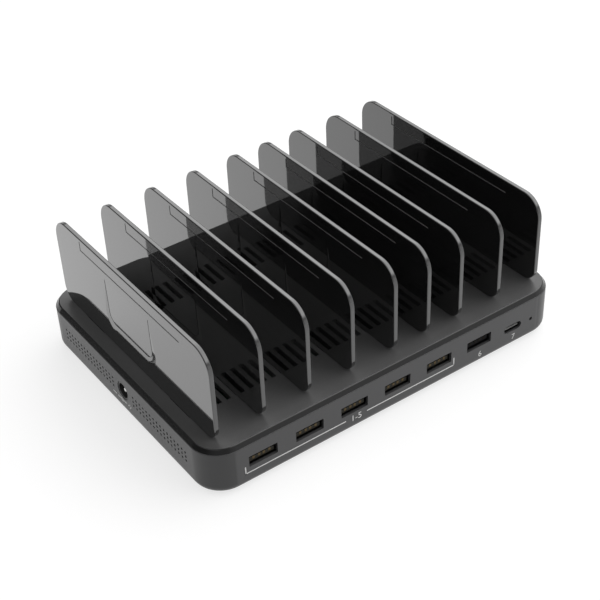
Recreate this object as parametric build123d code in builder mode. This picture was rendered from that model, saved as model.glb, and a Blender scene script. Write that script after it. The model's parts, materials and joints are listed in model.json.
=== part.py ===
from build123d import *
import os

os.makedirs("parts", exist_ok=True)

# The case. X runs along the ports, Y from the front to the back and Z up.
# The origin is on the table, under the middle of the case.
case_length = 170.0
case_depth = 125.2
case_corner = 12.0
case_bottom = 1.0
case_round = 3.6
wall = 2.4
floor_thick = 2.2
wall_top = 20.25
rim_round = 0.3
overrun = 1.0
fit_gap = 0.15

# The cover: a bevelled deck on top of the walls, with a lip inside them
bevel_height = 1.85
deck_inset = 1.5
deck_thick = 2.4
deck_round = 0.7
lip_thick = 1.6
lip_depth = 1.8

# The two rows of slots in the deck, and the slots that hold a divider
slot_count = 39
slot_end_gap = 7.79
slot_side_gap = 30.6
slot_width = 1.95
slot_length = 14.0
slot_shift = 0.3
divider_slots = (0, 5, 10, 15, 20, 24, 28, 33, 38)

# The dividers
plate_thick = 1.95
plate_end_gap = 5.9
plate_height = 39.6
plate_top_round = 9.3
plate_foot_round = 6.3
plate_edge_round = 0.4
tab_thick = 1.4
tab_length = 13.4
tab_depth = 4.6
groove_width = 0.55
groove_depth = 0.4
groove_drop = 5.3
groove_front_gap = 19.3
groove_back_gap = 21.6
groove_rise = 4.0
pocket_length = 32.0
pocket_shift = 1.0
pocket_rise = 11.1
pocket_height = 19.5
pocket_round = 4.5
pocket_depth = 0.18
pocket_border = 3.2
pocket_line_width = 0.35
pocket_line_depth = 0.3

# The corner posts, their screws and the feet
post_inset = 10.6
post_radius = 3.5
post_pilot_radius = 1.1
post_pilot_depth = 9.0
boss_radius = 4.2
case_screw_radius = 1.1
case_screw_hole_radius = 1.5
case_screw_head_radius = 2.4
case_screw_head_thick = 1.6
case_screw_pocket_radius = 2.8
case_screw_pocket_depth = 2.4
case_screw_length = 12.0
foot_radius = 6.0
foot_thick = 2.0
foot_pocket_radius = 6.1
foot_round = 0.4

# The circuit board and what holds it
board_gap = 2.4
board_thick = 1.6
board_rise = 8.15
board_corner = 6.0
board_post_hole_radius = 4.5
standoff_radius = 3.0
standoff_end_gap = 26.4
standoff_front_gap = 16.0
standoff_back_gap = 6.0
board_screw_radius = 1.0
board_screw_hole_radius = 1.1
board_screw_head_radius = 2.0
board_screw_head_thick = 1.2
board_screw_length = 5.0

# The full-size ports: openings in the front wall, and the sockets behind them
port_count = 6
port_post_gap = 12.3
port_oval_gap = 18.2
port_lift = 0.05
port_width = 12.6
port_height = 4.8
port_round = 0.3
port_wall = 1.2
shell_width = 13.1
shell_height = 6.0
shell_thick = 0.3
shell_length = 14.0
shell_flange = 1.2
tongue_side_gap = 0.7
tongue_thick = 1.84
tongue_length = 11.0
tongue_drop = 0.6
tongue_recess = 0.3
tongue_block = 4.0
contact_width = 1.0
contact_thick = 0.15
contact_outer = 3.5
contact_inner = 1.0
contact_length = 7.0
contact_hook = 1.2

# The small oval port and its socket
oval_post_gap = 13.95
oval_lift = 0.05
oval_recess = 0.7
oval_width = 9.2
oval_height = 3.4
oval_shell_width = 8.94
oval_shell_height = 3.16
oval_shell_thick = 0.3
oval_shell_length = 8.6
oval_leg_thick = 0.6
oval_leg_length = 2.0
oval_tongue_side_gap = 0.82
oval_tongue_thick = 0.7
oval_tongue_length = 6.9
oval_block = 1.6
oval_contact_width = 0.25
oval_contact_pitch = 0.5
oval_contact_count = 12
oval_contact_length = 3.4
oval_contact_thick = 0.06
oval_contact_recess = 0.9

# The indicator lamp and the light pipe behind its pinhole
lamp_post_gap = 4.0
lamp_lift = 1.4
lamp_hole_radius = 0.8
lamp_pipe_radius = 0.7
lamp_pipe_recess = 0.9
lamp_pipe_length = 4.6
lamp_length = 2.0
lamp_width = 1.8
lamp_height = 2.2

# The power socket in the left wall
jack_lift = 3.35
jack_nose_radius = 3.9
jack_hole_radius = 4.05
jack_nose_recess = 0.2
jack_body_length = 11.0
jack_body_width = 9.0
jack_body_height = 8.0
jack_bore_radius = 3.2
jack_bore_depth = 9.5
jack_pin_radius = 1.0
jack_pin_recess = 0.9
jack_pin_dome = 0.5

# The rows of small vent holes on both sides of the power socket
vent_radius = 0.55
vent_rows = 3
vent_columns = 16
vent_row_pitch = 2.03
vent_lift = 3.1
vent_jack_gap = 7.85
vent_end_gap = 16.65

# The electronic parts on the board
capacitor_radius = 4.0
capacitor_height = 9.0
capacitor_round = 0.6
capacitor_cross_width = 0.3
capacitor_cross_depth = 0.15
capacitor_y = 8.0
capacitor_x_shares = (-0.26, -0.195, -0.13)
coil_size = 10.0
coil_height = 5.0
coil_round = 1.2
coil_cap_radius = 4.0
coil_cap_depth = 0.4
coil_y = -12.0
coil_x_shares = (-0.25, -0.12, 0.01, 0.14)
chip_length = 6.0
chip_width = 5.0
chip_height = 1.5
chip_lead_width = 0.4
chip_lead_reach = 1.0
chip_lead_thick = 0.2
chip_lead_count = 4
chip_lead_pitch = 1.27
chip_y = -12.0
chip_x_shares = (-0.185, -0.055, 0.075, 0.26)
sink_length = 34.0
sink_width = 18.0
sink_base = 2.0
sink_height = 7.5
sink_fin_thick = 1.2
sink_fin_count = 6
sink_x_share = 0.12
sink_y = 9.5

# Sizes that follow from those above
cavity_length = case_length - 2 * wall
cavity_depth = case_depth - 2 * wall
cavity_corner = case_corner - wall
floor_top = case_bottom + floor_thick
front_face = -case_depth / 2
shell_front = front_face + port_wall
oval_front = front_face + oval_recess
left_face = -case_length / 2
deck_top = wall_top + bevel_height
deck_bottom = deck_top - deck_thick
board_top = case_bottom + board_rise
board_bottom = board_top - board_thick
board_length = cavity_length - 2 * board_gap
board_depth = cavity_depth - 2 * board_gap

slot_pitch = (case_length - 2 * slot_end_gap) / (slot_count - 1)
slot_middle = (slot_count - 1) / 2
slot_places = [slot_shift + (n - slot_middle) * slot_pitch for n in range(slot_count)]
slot_row = case_depth / 2 - slot_side_gap
plate_length = case_depth - 2 * plate_end_gap
plate_top = deck_top + plate_height

post_x = case_length / 2 - post_inset
post_y = case_depth / 2 - post_inset
post_places = [(sx * post_x, sy * post_y) for sx in (-1, 1) for sy in (-1, 1)]
standoff_x = post_x - standoff_end_gap
standoff_rows = (standoff_front_gap - post_y, post_y - standoff_back_gap)
standoff_places = [(sx * standoff_x, y) for sx in (-1, 1) for y in standoff_rows]

oval_x = post_x - oval_post_gap
lamp_x = post_x - lamp_post_gap
port_first_x = port_post_gap - post_x
port_pitch = (oval_x - port_oval_gap - port_first_x) / (port_count - 1)
port_places = [port_first_x + n * port_pitch for n in range(port_count)]
port_z = board_top + shell_height / 2 + port_lift
tongue_width = shell_width - 2 * shell_thick - 2 * tongue_side_gap
oval_tongue_width = oval_shell_width - 2 * oval_shell_thick - 2 * oval_tongue_side_gap
oval_z = board_top + oval_shell_height / 2 + oval_lift
lamp_z = board_top + lamp_lift
jack_z = board_top + jack_lift
vent_z = board_top + vent_lift
vent_column_pitch = (case_depth / 2 - vent_end_gap - vent_jack_gap) / (vent_columns - 1)
vent_y = (case_depth / 2 - vent_end_gap + vent_jack_gap) / 2


def save(part, name):
    part.label = name
    export_step(part, "parts/" + name + ".step")


# The lower housing: walls and floor, with every opening that the photo shows.
with BuildPart() as lower_housing:
    with BuildSketch(Plane.XY.offset(case_bottom)):
        RectangleRounded(case_length, case_depth, case_corner)
    extrude(amount=wall_top - case_bottom)
    fillet(faces().sort_by(Axis.Z)[0].edges(), radius=case_round)
    fillet(faces().sort_by(Axis.Z)[-1].edges(), radius=rim_round)
    with BuildSketch(Plane.XY.offset(floor_top)):
        RectangleRounded(cavity_length, cavity_depth, cavity_corner)
    extrude(amount=wall_top, mode=Mode.SUBTRACT)
    # Bosses that the cover's posts stand on, and standoffs for the board
    with BuildSketch(Plane.XY.offset(floor_top)):
        with Locations(*post_places):
            Circle(boss_radius)
        with Locations(*standoff_places):
            Circle(standoff_radius)
    extrude(amount=board_bottom - fit_gap - floor_top)
    with BuildSketch(Plane.XY.offset(board_bottom - fit_gap)):
        with Locations(*standoff_places):
            Circle(standoff_radius)
    extrude(amount=fit_gap)
    with BuildSketch(Plane.XY.offset(board_bottom - fit_gap)):
        with Locations(*post_places):
            Circle(post_radius)
    extrude(amount=board_top - board_bottom + fit_gap)
    # Holes and pockets for the case screws, and the round pockets for the feet
    with BuildSketch(Plane.XY.offset(case_bottom - overrun)):
        with Locations(*post_places):
            Circle(case_screw_hole_radius)
    extrude(amount=board_top + overrun, mode=Mode.SUBTRACT)
    with BuildSketch(Plane.XY.offset(foot_thick)):
        with Locations(*post_places):
            Circle(case_screw_pocket_radius)
    extrude(amount=case_screw_pocket_depth, mode=Mode.SUBTRACT)
    with BuildSketch(Plane.XY.offset(case_bottom - overrun)):
        with Locations(*post_places):
            Circle(foot_pocket_radius)
    extrude(amount=foot_thick - case_bottom + overrun, mode=Mode.SUBTRACT)
    # Pilot holes for the board screws
    with BuildSketch(Plane.XY.offset(board_bottom)):
        with Locations(*standoff_places):
            Circle(board_screw_hole_radius)
    extrude(amount=-board_screw_length, mode=Mode.SUBTRACT)
    # Openings for the ports and the lamp in the front wall
    with BuildSketch(Plane.XZ.offset(-front_face + overrun)):
        with Locations(*[(x, port_z) for x in port_places]):
            RectangleRounded(port_width, port_height, port_round)
        with Locations((oval_x, oval_z)):
            SlotOverall(oval_width, oval_height)
        with Locations((lamp_x, lamp_z)):
            Circle(lamp_hole_radius)
    extrude(amount=-(wall + 2 * overrun), mode=Mode.SUBTRACT)
    # Pockets inside the front wall, which bring the sockets closer to its face
    with BuildSketch(Plane.XZ.offset(-shell_front)):
        with Locations(*[(x, port_z) for x in port_places]):
            Rectangle(shell_width + shell_flange + 2 * fit_gap, shell_height + 2 * fit_gap)
    extrude(amount=port_wall - wall - overrun, mode=Mode.SUBTRACT)
    # The power socket's hole and the vent holes in the left wall
    with BuildSketch(Plane.YZ.offset(left_face - overrun)):
        with Locations((0, jack_z)):
            Circle(jack_hole_radius)
        with Locations((-vent_y, vent_z), (vent_y, vent_z)):
            with GridLocations(vent_column_pitch, vent_row_pitch, vent_columns, vent_rows):
                Circle(vent_radius)
    extrude(amount=wall + 2 * overrun, mode=Mode.SUBTRACT)
save(lower_housing.part, "lower_housing")


# The top cover: the bevelled deck, a lip inside the walls, four posts and the rows of slots.
with BuildPart() as top_cover:
    with BuildSketch(Plane.XY.offset(wall_top)):
        RectangleRounded(case_length - 2 * rim_round, case_depth - 2 * rim_round, case_corner - rim_round)
    with BuildSketch(Plane.XY.offset(deck_top)):
        RectangleRounded(case_length - 2 * deck_inset, case_depth - 2 * deck_inset, case_corner - deck_inset)
    loft(ruled=True)
    fillet(faces().sort_by(Axis.Z)[-1].edges(), radius=deck_round)
    lip_length = cavity_length - 2 * fit_gap
    lip_width = cavity_depth - 2 * fit_gap
    lip_corner = cavity_corner - fit_gap
    with BuildSketch(Plane.XY.offset(deck_bottom)):
        RectangleRounded(lip_length, lip_width, lip_corner)
    extrude(amount=wall_top - deck_bottom)
    with BuildSketch(Plane.XY.offset(deck_bottom - lip_depth)):
        RectangleRounded(lip_length, lip_width, lip_corner)
        RectangleRounded(
            lip_length - 2 * lip_thick, lip_width - 2 * lip_thick, lip_corner - lip_thick, mode=Mode.SUBTRACT
        )
    extrude(amount=lip_depth)
    with BuildSketch(Plane.XY.offset(board_top)):
        with Locations(*post_places):
            Circle(post_radius)
    extrude(amount=deck_bottom - board_top)
    with BuildSketch(Plane.XY.offset(board_top)):
        with Locations(*post_places):
            Circle(post_pilot_radius)
    extrude(amount=post_pilot_depth, mode=Mode.SUBTRACT)
    with BuildSketch(Plane.XY.offset(deck_top + overrun)):
        with Locations(*[(x, y) for x in slot_places for y in (-slot_row, slot_row)]):
            Rectangle(slot_width, slot_length)
    extrude(amount=-(deck_thick + 2 * overrun), mode=Mode.SUBTRACT)
save(top_cover.part, "top_cover")


# A divider: a thin plate that stands on the deck, with two tabs that drop into a pair of slots.
def divider(x):
    plate_left = x - plate_thick / 2
    with BuildPart() as plate:
        with BuildSketch(Plane.YZ.offset(plate_left)):
            with Locations((0, (deck_top + plate_top) / 2)):
                Rectangle(plate_length, plate_top - deck_top)
            fillet(vertices().group_by(Axis.Y)[-1], plate_top_round)
            fillet(vertices().group_by(Axis.Y)[0], plate_foot_round)
        extrude(amount=plate_thick)
        fillet(faces().filter_by(Axis.X).edges(), radius=plate_edge_round)
        with BuildSketch(Plane.XY.offset(deck_top)):
            with Locations((x, -slot_row), (x, slot_row)):
                Rectangle(tab_thick, tab_length)
        extrude(amount=-tab_depth)
        # A fine bent groove below the top edge of the left face
        line_z = plate_top - groove_drop
        groove_back = plate_length / 2 - groove_back_gap
        groove_front = groove_front_gap - plate_length / 2
        with BuildSketch(Plane.YZ.offset(plate_left - overrun)):
            with BuildLine():
                bend = Polyline(
                    (groove_back, line_z + groove_rise),
                    (groove_back, line_z),
                    (groove_front, line_z),
                )
            trace(bend, groove_width)
        extrude(amount=overrun + groove_depth, mode=Mode.SUBTRACT)
        # A shallow pocket with an open top, whose floor fades out upwards inside a wide sloping border
        pocket_floor = Plane(
            origin=(plate_left, pocket_shift, deck_top + pocket_rise + pocket_height),
            x_dir=(0, 1, 0),
            z_dir=(-pocket_height, 0, -pocket_depth),
        )
        for share in (0, 2):
            with BuildSketch(pocket_floor.offset(share * pocket_depth)):
                with Locations((0, pocket_height / 2)):
                    Rectangle(pocket_length + 2 * share * pocket_border, pocket_height + 2 * share * pocket_border)
                fillet(vertices().group_by(Axis.Y)[-1], pocket_round + share * pocket_border)
        loft(ruled=True, mode=Mode.SUBTRACT)
        # A fine line along the pocket's two sides and its bottom
        with BuildSketch(pocket_floor.offset(-pocket_line_depth)):
            with BuildLine():
                border = FilletPolyline(
                    (pocket_length / 2, 0),
                    (pocket_length / 2, pocket_height),
                    (-pocket_length / 2, pocket_height),
                    (-pocket_length / 2, 0),
                    radius=pocket_round,
                )
            trace(border, pocket_line_width)
        extrude(amount=overrun + pocket_line_depth, mode=Mode.SUBTRACT)
    return plate.part


for number, slot in enumerate(divider_slots, 1):
    save(divider(slot_places[slot]), "divider_" + str(number))


# The metal shell of a full-size port: a sleeve with a flared mouth behind the wall's opening.
def port_shell(x):
    with BuildPart() as shell:
        with BuildSketch(Plane.XZ.offset(-shell_front)):
            with Locations((x, port_z)):
                Rectangle(shell_width, shell_height)
                Rectangle(shell_width - 2 * shell_thick, shell_height - 2 * shell_thick, mode=Mode.SUBTRACT)
        extrude(amount=-shell_length)
        with BuildSketch(Plane.XZ.offset(-shell_front)):
            with Locations((x, port_z)):
                Rectangle(shell_width + shell_flange, shell_height)
                Rectangle(shell_width, shell_height, mode=Mode.SUBTRACT)
        extrude(amount=-shell_thick)
    return shell.part


# The plastic tongue of a full-size port, standing out of a block at the back of the shell
def port_tongue(x):
    tongue_front = shell_front + tongue_recess
    block_front = shell_front + shell_length - tongue_block
    with BuildPart() as tongue:
        with BuildSketch(Plane.XZ.offset(-tongue_front)):
            with Locations((x, port_z - tongue_drop)):
                Rectangle(tongue_width, tongue_thick)
        extrude(amount=-tongue_length)
        with BuildSketch(Plane.XZ.offset(-block_front)):
            with Locations((x, port_z)):
                Rectangle(shell_width - 2 * shell_thick, shell_height - 2 * shell_thick)
        extrude(amount=-tongue_block)
    return tongue.part


# The four contact strips, which lie on top of a tongue and hook over its front edge
def port_contacts(x):
    tongue_front = shell_front + tongue_recess
    tongue_top = port_z - tongue_drop + tongue_thick / 2
    columns = [x + side * reach for side in (-1, 1) for reach in (contact_inner, contact_outer)]
    with BuildPart() as contacts:
        with BuildSketch(Plane.XY.offset(tongue_top)):
            with Locations(*[(column, tongue_front + contact_length / 2) for column in columns]):
                Rectangle(contact_width, contact_length)
        extrude(amount=contact_thick)
        with BuildSketch(Plane.XZ.offset(-tongue_front)):
            with Locations(*[(column, tongue_top + contact_thick - contact_hook / 2) for column in columns]):
                Rectangle(contact_width, contact_hook)
        extrude(amount=contact_thick)
    return contacts.part


for number, x in enumerate(port_places, 1):
    save(port_shell(x), "usb_a_shell_" + str(number))
    save(port_tongue(x), "usb_a_tongue_" + str(number))
    save(port_contacts(x), "usb_a_contacts_" + str(number))


# The oval port's shell, on four short legs
with BuildPart() as usb_c_shell:
    with BuildSketch(Plane.XZ.offset(-oval_front)):
        with Locations((oval_x, oval_z)):
            SlotOverall(oval_shell_width, oval_shell_height)
            SlotOverall(
                oval_shell_width - 2 * oval_shell_thick,
                oval_shell_height - 2 * oval_shell_thick,
                mode=Mode.SUBTRACT,
            )
    extrude(amount=-oval_shell_length)
    leg_x = (oval_shell_width - oval_shell_height) / 2
    leg_y = front_face + wall + board_gap + oval_leg_length / 2
    leg_back = oval_front + oval_shell_length - oval_leg_length / 2
    with BuildSketch(Plane.XY.offset(board_top)):
        with Locations(*[(oval_x + side * leg_x, y) for side in (-1, 1) for y in (leg_y, leg_back)]):
            Rectangle(oval_leg_thick, oval_leg_length)
    extrude(amount=oval_z - oval_shell_height / 2 + oval_shell_thick / 2 - board_top)
save(usb_c_shell.part, "usb_c_shell")


# The oval port's tongue and the block behind it
with BuildPart() as usb_c_tongue:
    with BuildSketch(Plane.XZ.offset(-(oval_front + oval_shell_length - oval_block))):
        with Locations((oval_x, oval_z)):
            SlotOverall(oval_shell_width - 2 * oval_shell_thick, oval_shell_height - 2 * oval_shell_thick)
    extrude(amount=-oval_block)
    with BuildSketch(Plane.XZ.offset(-(oval_front + oval_shell_length - oval_block))):
        with Locations((oval_x, oval_z)):
            Rectangle(oval_tongue_width, oval_tongue_thick)
    extrude(amount=oval_tongue_length)
save(usb_c_tongue.part, "usb_c_tongue")


# The oval port's contacts, on both faces of the tongue
with BuildPart() as usb_c_contacts:
    tip_y = oval_front + oval_shell_length - oval_block - oval_tongue_length
    strip_y = tip_y + oval_contact_recess + oval_contact_length / 2
    for level in (oval_tongue_thick / 2, -oval_tongue_thick / 2 - oval_contact_thick):
        with BuildSketch(Plane.XY.offset(oval_z + level)):
            with Locations((oval_x, strip_y)):
                with GridLocations(oval_contact_pitch, oval_contact_length, oval_contact_count, 1):
                    Rectangle(oval_contact_width, oval_contact_length)
        extrude(amount=oval_contact_thick)
save(usb_c_contacts.part, "usb_c_contacts")


# The lamp on the board and the light pipe that brings its light to the pinhole
lamp_front = front_face + lamp_pipe_recess + lamp_pipe_length
with BuildPart() as light_pipe:
    with BuildSketch(Plane.XZ.offset(-front_face - lamp_pipe_recess)):
        with Locations((lamp_x, lamp_z)):
            Circle(lamp_pipe_radius)
    extrude(amount=-lamp_pipe_length)
save(light_pipe.part, "light_pipe")

with BuildPart() as lamp:
    with BuildSketch(Plane.XY.offset(board_top)):
        with Locations((lamp_x, lamp_front + lamp_length / 2)):
            Rectangle(lamp_width, lamp_length)
    extrude(amount=lamp_height)
save(lamp.part, "indicator_lamp")


# The power socket: a block on the board with a round nose in the wall and a bore
with BuildPart() as dc_jack_body:
    block_left = left_face + wall + fit_gap
    with BuildSketch(Plane.XY.offset(board_top)):
        with Locations((block_left + jack_body_length / 2, 0)):
            Rectangle(jack_body_length, jack_body_width)
    extrude(amount=jack_body_height)
    with BuildSketch(Plane.YZ.offset(left_face + jack_nose_recess)):
        with Locations((0, jack_z)):
            Circle(jack_nose_radius)
    extrude(amount=block_left - left_face - jack_nose_recess + overrun)
    with BuildSketch(Plane.YZ.offset(left_face - overrun)):
        with Locations((0, jack_z)):
            Circle(jack_bore_radius)
    extrude(amount=jack_bore_depth + overrun, mode=Mode.SUBTRACT)
save(dc_jack_body.part, "dc_jack_body")

with BuildPart() as dc_jack_pin:
    with BuildSketch(Plane.YZ.offset(left_face + jack_pin_recess)):
        with Locations((0, jack_z)):
            Circle(jack_pin_radius)
    extrude(amount=jack_bore_depth - jack_pin_recess)
    fillet(faces().sort_by(Axis.X)[0].edges(), radius=jack_pin_dome)
save(dc_jack_pin.part, "dc_jack_pin")


# The circuit board, with holes for the posts and its screws
with BuildPart() as main_board:
    with BuildSketch(Plane.XY.offset(board_bottom)):
        RectangleRounded(board_length, board_depth, board_corner)
        with Locations(*post_places):
            Circle(board_post_hole_radius, mode=Mode.SUBTRACT)
        with Locations(*standoff_places):
            Circle(board_screw_hole_radius, mode=Mode.SUBTRACT)
    extrude(amount=board_thick)
save(main_board.part, "main_board")


# The smoothing capacitors: round cans with a cross scored into the top
def capacitor(x, y):
    can_top = board_top + capacitor_height
    with BuildPart() as can:
        with BuildSketch(Plane.XY.offset(board_top)):
            with Locations((x, y)):
                Circle(capacitor_radius)
        extrude(amount=capacitor_height)
        fillet(faces().sort_by(Axis.Z)[-1].edges(), radius=capacitor_round)
        with BuildSketch(Plane.XY.offset(can_top)):
            with Locations((x, y)):
                Rectangle(capacitor_radius, capacitor_cross_width)
                Rectangle(capacitor_cross_width, capacitor_radius)
        extrude(amount=-capacitor_cross_depth, mode=Mode.SUBTRACT)
    return can.part


for number, share in enumerate(capacitor_x_shares, 1):
    save(capacitor(share * case_length, capacitor_y), "capacitor_" + str(number))


# The converter coils: square blocks with a round dip in the top
def coil(x, y):
    with BuildPart() as block:
        with BuildSketch(Plane.XY.offset(board_top)):
            with Locations((x, y)):
                RectangleRounded(coil_size, coil_size, coil_round)
        extrude(amount=coil_height)
        with BuildSketch(Plane.XY.offset(board_top + coil_height)):
            with Locations((x, y)):
                Circle(coil_cap_radius)
        extrude(amount=-coil_cap_depth, mode=Mode.SUBTRACT)
    return block.part


for number, share in enumerate(coil_x_shares, 1):
    save(coil(share * case_length, coil_y), "coil_" + str(number))


# The controller chips, with a row of leads on each long side
def chip(x, y):
    with BuildPart() as block:
        with BuildSketch(Plane.XY.offset(board_top)):
            with Locations((x, y)):
                Rectangle(chip_length, chip_width)
        extrude(amount=chip_height)
        with BuildSketch(Plane.XY.offset(board_top)):
            with Locations((x, y)):
                with GridLocations(chip_lead_pitch, chip_width, chip_lead_count, 2):
                    Rectangle(chip_lead_width, 2 * chip_lead_reach)
        extrude(amount=chip_lead_thick)
    return block.part


for number, share in enumerate(chip_x_shares, 1):
    save(chip(share * case_length, chip_y), "controller_chip_" + str(number))


# The heat sink: a base with a row of upright fins
with BuildPart() as heat_sink:
    with BuildSketch(Plane.XY.offset(board_top)):
        with Locations((sink_x_share * case_length, sink_y)):
            Rectangle(sink_length, sink_width)
    extrude(amount=sink_base)
    fin_pitch = (sink_width - sink_fin_thick) / (sink_fin_count - 1)
    with BuildSketch(Plane.XY.offset(board_top + sink_base)):
        with Locations((sink_x_share * case_length, sink_y)):
            with GridLocations(sink_length, fin_pitch, 1, sink_fin_count):
                Rectangle(sink_length, sink_fin_thick)
    extrude(amount=sink_height - sink_base)
save(heat_sink.part, "heat_sink")


# The screws that hold the board on its standoffs
with BuildPart() as board_screws:
    with BuildSketch(Plane.XY.offset(board_top)):
        with Locations(*standoff_places):
            Circle(board_screw_head_radius)
    extrude(amount=board_screw_head_thick)
    with BuildSketch(Plane.XY.offset(board_top)):
        with Locations(*standoff_places):
            Circle(board_screw_radius)
    extrude(amount=-board_screw_length)
save(board_screws.part, "board_screws")


# The screws that hold the cover, from below, under the feet
head_bottom = foot_thick + case_screw_pocket_depth - case_screw_head_thick
with BuildPart() as case_screws:
    with BuildSketch(Plane.XY.offset(head_bottom)):
        with Locations(*post_places):
            Circle(case_screw_head_radius)
    extrude(amount=case_screw_head_thick)
    with BuildSketch(Plane.XY.offset(head_bottom + case_screw_head_thick)):
        with Locations(*post_places):
            Circle(case_screw_radius)
    extrude(amount=case_screw_length)
save(case_screws.part, "case_screws")


# The four rubber feet, each in its own pocket
with BuildPart() as rubber_feet:
    with BuildSketch():
        with Locations(*post_places):
            Circle(foot_radius)
    extrude(amount=foot_thick)
    fillet(faces().group_by(Axis.Z)[0].edges(), radius=foot_round)
save(rubber_feet.part, "rubber_feet")
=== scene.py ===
import json
import math

import bmesh
import bpy
from mathutils import Matrix, Vector


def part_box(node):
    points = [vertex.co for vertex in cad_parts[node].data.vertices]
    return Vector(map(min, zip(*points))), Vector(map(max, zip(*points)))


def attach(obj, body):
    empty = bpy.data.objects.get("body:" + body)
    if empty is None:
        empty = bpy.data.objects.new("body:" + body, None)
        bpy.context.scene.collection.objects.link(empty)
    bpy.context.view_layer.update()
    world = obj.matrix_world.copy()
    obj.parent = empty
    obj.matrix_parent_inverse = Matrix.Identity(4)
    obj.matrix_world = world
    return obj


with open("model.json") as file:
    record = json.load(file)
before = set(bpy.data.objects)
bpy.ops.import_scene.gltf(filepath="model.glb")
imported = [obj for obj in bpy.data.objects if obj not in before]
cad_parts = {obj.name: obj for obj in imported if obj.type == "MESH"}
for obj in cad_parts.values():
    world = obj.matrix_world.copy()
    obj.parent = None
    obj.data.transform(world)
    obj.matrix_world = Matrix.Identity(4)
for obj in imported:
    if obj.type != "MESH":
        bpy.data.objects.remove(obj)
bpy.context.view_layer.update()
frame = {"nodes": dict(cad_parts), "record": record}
nodes = frame["nodes"]
MM = 0.001

# Places that the frame gives: the front and left walls, the deck's corner, and the first two dividers
case_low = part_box("lower_housing")[0]
FRONT = case_low.y
LEFT = case_low.x
deck_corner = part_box("top_cover")[1]
first_low, first_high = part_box("divider_1")
second_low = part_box("divider_2")[0]
slots_between = 5
slot_pitch = (second_low.x - first_low.x) / slots_between
plate_half = (first_high.x - first_low.x) / 2


def new_material(name):
    material = bpy.data.materials.new(name)
    material.use_nodes = True
    material.node_tree.nodes.clear()
    output = material.node_tree.nodes.new("ShaderNodeOutputMaterial")
    return material, material.node_tree, output


def feed(tree, socket, value):
    """Gives an input another node's output, or a plain value."""
    if isinstance(value, bpy.types.NodeSocket):
        tree.links.new(value, socket)
    else:
        socket.default_value = value


def noise(tree, coords, scale, detail, rough):
    texture = tree.nodes.new("ShaderNodeTexNoise")
    texture.inputs["Scale"].default_value = scale
    texture.inputs["Detail"].default_value = detail
    texture.inputs["Roughness"].default_value = rough
    tree.links.new(coords.outputs["Object"], texture.inputs["Vector"])
    return texture.outputs["Fac"]


def ranged(tree, socket, start, stop, low, high, curve="LINEAR"):
    """Goes from low to high while the socket goes from start to stop."""
    scale = tree.nodes.new("ShaderNodeMapRange")
    scale.interpolation_type = curve
    scale.inputs["From Min"].default_value = start
    scale.inputs["From Max"].default_value = stop
    scale.inputs["To Min"].default_value = low
    scale.inputs["To Max"].default_value = high
    tree.links.new(socket, scale.inputs["Value"])
    return scale.outputs["Result"]


def smooth(tree, socket, start, stop, low, high):
    """The same with a soft beginning and end."""
    return ranged(tree, socket, start, stop, low, high, "SMOOTHSTEP")


def combine(tree, operation, first, second):
    result = tree.nodes.new("ShaderNodeMath")
    result.operation = operation
    feed(tree, result.inputs[0], first)
    feed(tree, result.inputs[1], second)
    return result.outputs[0]


def mixed(tree, kind, factor, first, second):
    """The first where the factor is 0, and the second where it is 1."""
    mix = tree.nodes.new("ShaderNodeMix")
    mix.data_type = kind
    tree.links.new(factor, mix.inputs["Factor"])
    feed(tree, mix.inputs["A"], first)
    feed(tree, mix.inputs["B"], second)
    return mix.outputs["Result"]


def object_axes(tree):
    """The x, y and z of a point of the object, in the frame's metres."""
    coords = tree.nodes.new("ShaderNodeTexCoord")
    xyz = tree.nodes.new("ShaderNodeSeparateXYZ")
    tree.links.new(coords.outputs["Object"], xyz.inputs[0])
    return xyz.outputs["X"], xyz.outputs["Y"], xyz.outputs["Z"]


def principled(material):
    return next(node for node in material.node_tree.nodes if node.type == "BSDF_PRINCIPLED")


# Most of a noise texture's values lie between these two
NOISE_LOW, NOISE_HIGH = 0.3, 0.7
# Pointiness is 0.5 on a flat place and more on an outer edge
EDGE_START, EDGE_FULL = 0.505, 0.56
# The painted highlight on outer edges: the colour times the gain, plus the lift
HIGHLIGHT_GAIN, HIGHLIGHT_LIFT = 4.0, 0.05
SMUDGE_SCALE = 0.6


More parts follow.
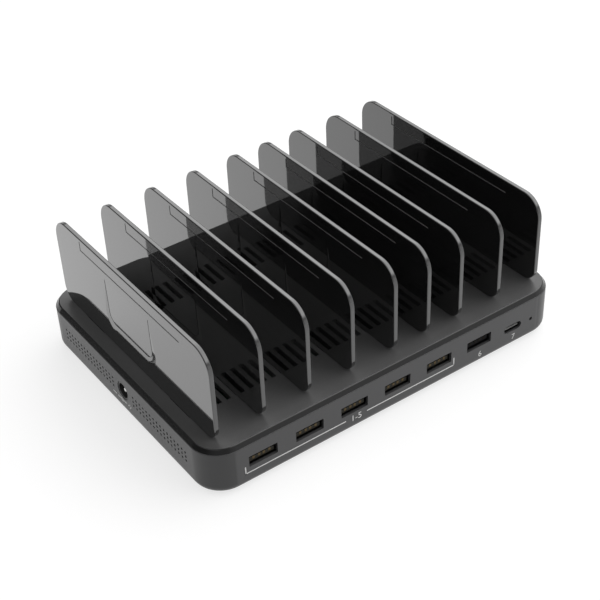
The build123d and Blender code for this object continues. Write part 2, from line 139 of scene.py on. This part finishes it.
def surface(name, colour, rough, spread=0.05, tint=0.1, tint_scale=200.0, grain=0.2, grain_scale=2600.0,
            grain_depth=0.03, edge_highlight=0.0, metallic=0.0, ior=1.5, specular=0.5, coat=0.0):
    """A moulded or metal surface.

    Its colour and roughness vary a little, its bump has a fine grain, and a painted highlight makes its outer
    edges lighter.
    """
    material, tree, output = new_material(name)
    coords = tree.nodes.new("ShaderNodeTexCoord")
    shader = tree.nodes.new("ShaderNodeBsdfPrincipled")
    shader.inputs["Metallic"].default_value = metallic
    shader.inputs["IOR"].default_value = ior
    shader.inputs["Specular IOR Level"].default_value = specular
    shader.inputs["Coat Weight"].default_value = coat
    shader.inputs["Coat Roughness"].default_value = 0.03
    shader.inputs["Coat IOR"].default_value = 1.5

    cloud = noise(tree, coords, tint_scale, detail=4.0, rough=0.55)
    tinted = tree.nodes.new("ShaderNodeVectorMath")
    tinted.operation = "SCALE"
    tinted.inputs[0].default_value = colour
    tree.links.new(ranged(tree, cloud, NOISE_LOW, NOISE_HIGH, 1.0 - tint, 1.0 + tint), tinted.inputs["Scale"])
    shown = tinted.outputs["Vector"]
    # Painted highlight: outer edges, found by pointiness, are mixed toward a lighter colour
    if edge_highlight > 0.0:
        geometry = tree.nodes.new("ShaderNodeNewGeometry")
        edge = ranged(tree, geometry.outputs["Pointiness"], EDGE_START, EDGE_FULL, 0.0, edge_highlight)
        highlight_colour = tuple(min(1.0, part * HIGHLIGHT_GAIN + HIGHLIGHT_LIFT) for part in colour)
        shown = mixed(tree, "RGBA", edge, shown, (*highlight_colour, 1.0))
    tree.links.new(shown, shader.inputs["Base Color"])

    smudge = noise(tree, coords, tint_scale * SMUDGE_SCALE, detail=5.0, rough=0.6)
    smudged = ranged(tree, smudge, NOISE_LOW, NOISE_HIGH, rough - spread, rough + spread)
    tree.links.new(smudged, shader.inputs["Roughness"])

    bump = tree.nodes.new("ShaderNodeBump")
    bump.inputs["Strength"].default_value = grain
    bump.inputs["Distance"].default_value = grain_depth * MM
    tree.links.new(noise(tree, coords, grain_scale, detail=2.0, rough=0.5), bump.inputs["Height"])
    tree.links.new(bump.outputs["Normal"], shader.inputs["Normal"])
    tree.links.new(shader.outputs["BSDF"], output.inputs["Surface"])
    return material


def repaint(material, mask, colour, rough):
    """Where the mask is 1, the surface has another colour and roughness."""
    tree = material.node_tree
    shader = principled(material)
    for name, kind, value in (("Base Color", "RGBA", (*colour, 1.0)), ("Roughness", "FLOAT", rough)):
        own = shader.inputs[name].links[0].from_socket
        tree.links.new(mixed(tree, kind, mask, own, value), shader.inputs[name])


def gloss_below(material, level, soft, side_x, side_y, colour, rough):
    """Below a height and outside a middle field, the surface is a polished and darker one."""
    tree = material.node_tree
    x, y, z = object_axes(tree)
    below = smooth(tree, z, level - soft, level + soft, 1.0, 0.0)
    beyond_x = combine(tree, "GREATER_THAN", combine(tree, "ABSOLUTE", x, 0.0), side_x)
    beyond_y = combine(tree, "GREATER_THAN", combine(tree, "ABSOLUTE", y, 0.0), side_y)
    outside = combine(tree, "MAXIMUM", beyond_x, beyond_y)
    repaint(material, combine(tree, "MULTIPLY", below, outside), colour, rough)


def matt_grooves_painted_light(material, pitch, place, half, reach, low, high, colour, rough):
    """Inside the plates' skins and between two heights, the surface is matt, lighter and has no coat; the
    lighter colour is a painted highlight.

    One plate stands at the place given, and the others stand at multiples of the pitch from it.
    """
    tree = material.node_tree
    x, y, z = object_axes(tree)
    # A whole number of pitches keeps the sum above zero
    pitches_added = 50
    from_place = combine(tree, "ADD", x, pitches_added * pitch - place)
    from_plate = combine(tree, "PINGPONG", from_place, pitch / 2)
    inside = combine(tree, "LESS_THAN", from_plate, half)
    middle = combine(tree, "LESS_THAN", combine(tree, "ABSOLUTE", y, 0.0), reach)
    above = combine(tree, "GREATER_THAN", z, low)
    below = combine(tree, "LESS_THAN", z, high)
    field = combine(tree, "MULTIPLY", inside, middle)
    mask = combine(tree, "MULTIPLY", field, combine(tree, "MULTIPLY", above, below))
    # Painted highlight: the groove gets a lighter colour
    repaint(material, mask, colour, rough)
    tree.links.new(combine(tree, "LESS_THAN", mask, 0.5), principled(material).inputs["Coat Weight"])


# The finish of each of the record's material slots
satin = dict(grain=0.35, grain_scale=2200.0)
finishes = {
    # The case and cover plastics have a painted highlight on their outer edges
    "case_plastic": dict(colour=(0.031, 0.031, 0.032), rough=0.34, spread=0.04, tint=0.08, tint_scale=40.0,
                         edge_highlight=0.25, **satin),
    "cover_plastic": dict(colour=(0.077, 0.077, 0.077), rough=0.36, tint=0.08, tint_scale=35.0, edge_highlight=0.15,
                          **satin),
    "divider_plastic": dict(colour=(0.011, 0.011, 0.0112), rough=0.05, spread=0.015, tint_scale=30.0,
                            grain=0.02, grain_scale=120.0, grain_depth=0.05, ior=1.62, coat=1.0),
    "shell_metal": dict(colour=(0.11, 0.11, 0.113), rough=0.32, spread=0.06, metallic=1.0),
    "tongue_plastic": dict(colour=(0.022, 0.020, 0.013), rough=0.5, tint_scale=300.0, specular=0.3),
    "contact_metal": dict(colour=(0.13, 0.098, 0.055), rough=0.5, spread=0.06, tint_scale=400.0, grain=0.15,
                          metallic=1.0),
    "jack_plastic": dict(colour=(0.028, 0.028, 0.028), rough=0.38),
    "pale_plastic": dict(colour=(0.15, 0.15, 0.145), rough=0.4),
    "pin_metal": dict(colour=(0.8, 0.8, 0.78), rough=0.14, spread=0.04, tint=0.05, tint_scale=300.0,
                      grain=0.1, metallic=1.0),
    "board_laminate": dict(colour=(0.006, 0.05, 0.02), rough=0.4, spread=0.06, tint=0.15, tint_scale=150.0,
                           grain=0.3, grain_scale=1500.0),
    "capacitor_can": dict(colour=(0.55, 0.56, 0.58), rough=0.3, tint=0.08, tint_scale=150.0, metallic=1.0),
    "coil_ferrite": dict(colour=(0.06, 0.06, 0.062), rough=0.6, spread=0.06, tint=0.15, tint_scale=150.0,
                         grain=0.5),
    "chip_resin": dict(colour=(0.018, 0.018, 0.019), rough=0.5, grain=0.4),
    "sink_metal": dict(colour=(0.5, 0.51, 0.52), rough=0.35, spread=0.06, tint=0.08, tint_scale=120.0,
                       grain=0.3, metallic=1.0),
    "screw_steel": dict(colour=(0.5, 0.5, 0.5), rough=0.3, tint=0.08, metallic=1.0),
    "foot_rubber": dict(colour=(0.02, 0.02, 0.02), rough=0.75, spread=0.06, tint=0.15, tint_scale=80.0,
                        grain=0.5, grain_scale=1800.0),
    "light_pipe_resin": dict(colour=(0.02, 0.022, 0.024), rough=0.15, spread=0.04, tint=0.05, grain=0.1),
    "lamp_resin": dict(colour=(0.7, 0.7, 0.66), rough=0.25, tint=0.05, grain=0.1),
}
looks = {name: surface(name, **finish) for name, finish in finishes.items()}

# The cover's bevel is polished below the round of the deck's edge, and the walls of the slots aren't
bevel_drop = 0.035 * MM
bevel_soft = 0.02 * MM
field_inset_x = 6.5 * MM
field_inset_y = 8.0 * MM
gloss_below(looks["cover_plastic"], deck_corner.z - bevel_drop, bevel_soft, deck_corner.x - field_inset_x,
            deck_corner.y - field_inset_y, colour=(0.006, 0.006, 0.006), rough=0.11)

# The fine bent groove below each divider's top edge, with a painted highlight in its lighter colour
skin = 0.04 * MM
groove_inset = 12.0 * MM
groove_bottom = 6.4 * MM
groove_top = 0.7 * MM
matt_grooves_painted_light(looks["divider_plastic"], slot_pitch, first_low.x + plate_half, plate_half - skin,
             first_high.y - groove_inset, first_high.z - groove_bottom, first_high.z - groove_top,
             colour=(0.18, 0.18, 0.18), rough=0.7)

# The sixth port is black all through
own_looks = {
    "usb_a_tongue_6": surface("black_tongue", (0.004, 0.004, 0.005), 0.5, tint_scale=300.0, specular=0.15),
    "usb_a_contacts_6": surface("dark_contact", (0.014, 0.012, 0.009), 0.5, spread=0.06, tint_scale=400.0,
                                grain=0.15, metallic=1.0),
}
for entry in frame["record"]["subparts"]:
    for slot in nodes[entry["node"]].material_slots:
        slot.material = own_looks.get(entry["node"], looks[entry["material_slot"]])


# The print on the walls stands a little proud of them and reaches a little into them
INK = 0.02 * MM
SINK = 0.05 * MM
ink = surface("white_ink", (0.86, 0.86, 0.85), 0.45, tint=0.05, tint_scale=300.0, grain=0.3,
              grain_scale=3000.0)


def printed(name, mesh):
    """A piece of print that rides on the base."""
    mesh.materials.append(ink)
    piece = bpy.data.objects.new(name, mesh)
    bpy.context.scene.collection.objects.link(piece)
    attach(piece, "base")


def finished_mesh(name, bm):
    mesh = bpy.data.meshes.new(name)
    bm.to_mesh(mesh)
    bm.free()
    return mesh


def printed_bars(name, bars):
    """Thin flat bars, each given by its low and high corner, in one mesh."""
    bm = bmesh.new()
    for low, high in bars:
        low, high = Vector(low), Vector(high)
        made = bmesh.ops.create_cube(bm, size=1.0)
        size, middle = high - low, (low + high) / 2
        for vertex in made["verts"]:
            vertex.co = vertex.co * size + middle
    printed(name, finished_mesh(name, bm))


def front_bar(x0, x1, z0, z1):
    return ((x0 * MM, FRONT - INK, z0 * MM), (x1 * MM, FRONT + SINK, z1 * MM))


def left_bar(y0, y1, z0, z1):
    return ((LEFT - INK, y0 * MM, z0 * MM), (LEFT + SINK, y1 * MM, z1 * MM))


# The bracket under the first five ports, with a gap for their number (mm)
line = 0.5
bracket_left, gap_left, gap_right, bracket_right = -70.4, -24.6, -14.5, 29.3
bracket_low, left_end_top, right_end_top = 7.05, 10.6, 10.9
printed_bars("port_group_line", [
    front_bar(bracket_left, bracket_left + line, bracket_low, left_end_top),
    front_bar(bracket_left, gap_left, bracket_low, bracket_low + line),
    front_bar(gap_right, bracket_right, bracket_low, bracket_low + line),
    front_bar(bracket_right - line, bracket_right, bracket_low, right_end_top),
])

# A digit's height as a share of the font's size
DIGIT_SHARE = 0.72


def numeral(name, text, x, z, height):
    """A plain number printed on the front wall, with its middle and height in mm."""
    curve = bpy.data.curves.new(name, "FONT")
    curve.body = text
    curve.size = height * MM / DIGIT_SHARE
    curve.align_x = "CENTER"
    curve.align_y = "CENTER"
    curve.extrude = (INK + SINK) / 2
    curve.resolution_u = 6
    holder = bpy.data.objects.new(name + "_curve", curve)
    bpy.context.scene.collection.objects.link(holder)
    bpy.context.view_layer.update()
    mesh = bpy.data.meshes.new_from_object(holder.evaluated_get(bpy.context.evaluated_depsgraph_get()))
    bpy.data.objects.remove(holder)
    bpy.data.curves.remove(curve)
    upright = Matrix.Rotation(math.radians(90.0), 4, "X")
    mesh.transform(Matrix.Translation((x * MM, FRONT + (SINK - INK) / 2, z * MM)) @ upright)
    mesh.materials.clear()
    printed(name, mesh)


numeral("numeral_one_to_five", "1-5", x=-19.6, z=6.9, height=2.9)
numeral("numeral_six", "6", x=43.0, z=5.9, height=2.7)
numeral("numeral_seven", "7", x=61.0, z=5.9, height=2.7)


def printed_ring(name, y, z, outer, inner, steps=24):
    """A flat ring on the left wall, with its middle and radii in mm."""
    bm = bmesh.new()
    angles = [2 * math.pi * i / steps for i in range(steps)]
    loops = []
    for x in (LEFT - INK, LEFT + SINK):
        for radius in (outer, inner):
            circle = [(y + radius * math.cos(a), z + radius * math.sin(a)) for a in angles]
            loops.append([bm.verts.new((x, side * MM, height * MM)) for side, height in circle])
    face_outer, face_inner, back_outer, back_inner = loops
    for i in range(steps):
        j = (i + 1) % steps
        bm.faces.new((face_outer[i], face_inner[i], face_inner[j], face_outer[j]))
        bm.faces.new((face_outer[i], face_outer[j], back_outer[j], back_outer[i]))
        bm.faces.new((face_inner[i], back_inner[i], back_inner[j], face_inner[j]))
    printed(name, finished_mesh(name, bm))


# The socket's generic polarity sign: minus, a ring with a dot and two leads, and plus (mm)
sign_y, sign_z = 1.5, 7.3
bar_half = 0.35
dot_half = 0.3
lead_start, lead_end = 1.2, 3.3
minus_y, minus_half = 7.25, 1.45
plus_y, plus_half = -4.2, 1.2


def level_bar(y0, y1):
    return left_bar(y0, y1, sign_z - bar_half, sign_z + bar_half)


printed_ring("polarity_ring", sign_y, sign_z, outer=1.0, inner=0.65)
printed_bars("polarity_bars", [
    left_bar(sign_y - dot_half, sign_y + dot_half, sign_z - dot_half, sign_z + dot_half),
    level_bar(sign_y + lead_start, sign_y + lead_end),
    level_bar(sign_y - lead_end, sign_y - lead_start),
    level_bar(minus_y - minus_half, minus_y + minus_half),
    level_bar(plus_y - plus_half, plus_y + plus_half),
    left_bar(plus_y - bar_half, plus_y + bar_half, sign_z - plus_half, sign_z + plus_half),
])


# The pale floor shows white to the camera and in reflections, and keeps the object's shadow
FLOOR_SIZE = 24.0
FLOOR_GREY = 0.36
CAMERA_LIFT = 0.70
MIRROR_LIFT = 0.64
bpy.ops.mesh.primitive_plane_add(size=FLOOR_SIZE, location=(0.0, 0.0, 0.0))
floor = bpy.context.object
floor.name = "floor"
material, tree, output = new_material("floor_white")
path = tree.nodes.new("ShaderNodeLightPath")
mirrored = combine(tree, "MAXIMUM", path.outputs["Is Glossy Ray"], path.outputs["Is Transmission Ray"])
seen_lift = combine(tree, "MULTIPLY", path.outputs["Is Camera Ray"], CAMERA_LIFT)
mirrored_lift = combine(tree, "MULTIPLY", mirrored, MIRROR_LIFT)
diffuse = tree.nodes.new("ShaderNodeBsdfDiffuse")
diffuse.inputs["Color"].default_value = (FLOOR_GREY, FLOOR_GREY, FLOOR_GREY, 1.0)
glow = tree.nodes.new("ShaderNodeEmission")
glow.inputs["Color"].default_value = (1.0, 1.0, 1.0, 1.0)
tree.links.new(combine(tree, "ADD", seen_lift, mirrored_lift), glow.inputs["Strength"])
both = tree.nodes.new("ShaderNodeAddShader")
tree.links.new(diffuse.outputs[0], both.inputs[0])
tree.links.new(glow.outputs[0], both.inputs[1])
tree.links.new(both.outputs[0], output.inputs["Surface"])
floor.data.materials.append(material)


# The studio: soft areas of light in the sky, placed by the x, y and z of its directions.
# A pair gives where a light's edge begins and ends.
CEILING_LEFT, CEILING_RIGHT = 0.18, 2.3
CEILING_X, CEILING_Z = (0.0, 0.45), (0.33, 0.62)
LEFT_LIGHT = 0.8
LEFT_X, LEFT_Z = (-0.5, -0.25), (0.5, 0.75)
FRONT_LIGHT, REAR_LIGHT = 0.34, 0.14
FRONT_Y = (-0.7, -0.1)
BAND_LIGHT = 0.6
BAND_X, BAND_Z = (-0.2, 0.3), (0.15, 0.50)
world = bpy.data.worlds.new("studio")
bpy.context.scene.world = world
world.use_nodes = True
tree = world.node_tree
tree.nodes.clear()
coords = tree.nodes.new("ShaderNodeTexCoord")
split = tree.nodes.new("ShaderNodeSeparateXYZ")
tree.links.new(coords.outputs["Generated"], split.inputs[0])
sky_x, sky_y, sky_z = split.outputs["X"], split.outputs["Y"], split.outputs["Z"]

# A ceiling that is bright on the right
ceiling = combine(tree, "MULTIPLY", smooth(tree, sky_z, *CEILING_Z, 0.0, 1.0),
                  smooth(tree, sky_x, *CEILING_X, CEILING_LEFT, CEILING_RIGHT))
# A weaker light high on the left
left_light = combine(tree, "MULTIPLY", smooth(tree, sky_x, *LEFT_X, LEFT_LIGHT, 0.0),
                     smooth(tree, sky_z, *LEFT_Z, 0.0, 1.0))
# A faint light all round, stronger in front
all_round = smooth(tree, sky_y, *FRONT_Y, FRONT_LIGHT, REAR_LIGHT)
# A band low on the right
low_band = combine(tree, "MULTIPLY", smooth(tree, sky_z, *BAND_Z, BAND_LIGHT, 0.0),
                   smooth(tree, sky_x, *BAND_X, 0.0, 1.0))
upper = combine(tree, "ADD", ceiling, left_light)
sky = combine(tree, "ADD", upper, combine(tree, "ADD", all_round, low_band))
background = tree.nodes.new("ShaderNodeBackground")
background.inputs["Color"].default_value = (1.0, 1.0, 1.0, 1.0)
tree.links.new(sky, background.inputs["Strength"])
output = tree.nodes.new("ShaderNodeOutputWorld")
tree.links.new(background.outputs[0], output.inputs["Surface"])


# The camera stands and looks as in the photograph (metres and degrees)
CAMERA_PLACE = (-0.244446, -0.359476, 0.341814)
CAMERA_TURN = 34.171261
CAMERA_TILT = 36.811334
CAMERA_ROLL = -2.753866
SENSOR = 36.0
FOCAL_PIXELS = 1313.37
PHOTO_PIXELS = 600.0
camera_data = bpy.data.cameras.new("camera")
camera = bpy.data.objects.new("camera", camera_data)
bpy.context.scene.collection.objects.link(camera)
camera_data.sensor_width = SENSOR
camera_data.lens = SENSOR * FOCAL_PIXELS / PHOTO_PIXELS
camera_data.clip_start = 0.01
camera_data.clip_end = 50.0
turn = Matrix.Rotation(math.radians(-CAMERA_TURN), 4, "Z")
tilt = Matrix.Rotation(math.radians(90.0 - CAMERA_TILT), 4, "X")
roll = Matrix.Rotation(math.radians(CAMERA_ROLL), 4, "Z")
camera.matrix_world = Matrix.Translation(CAMERA_PLACE) @ turn @ tilt @ roll
bpy.context.scene.camera = camera

bpy.context.scene.view_settings.view_transform = "Standard"
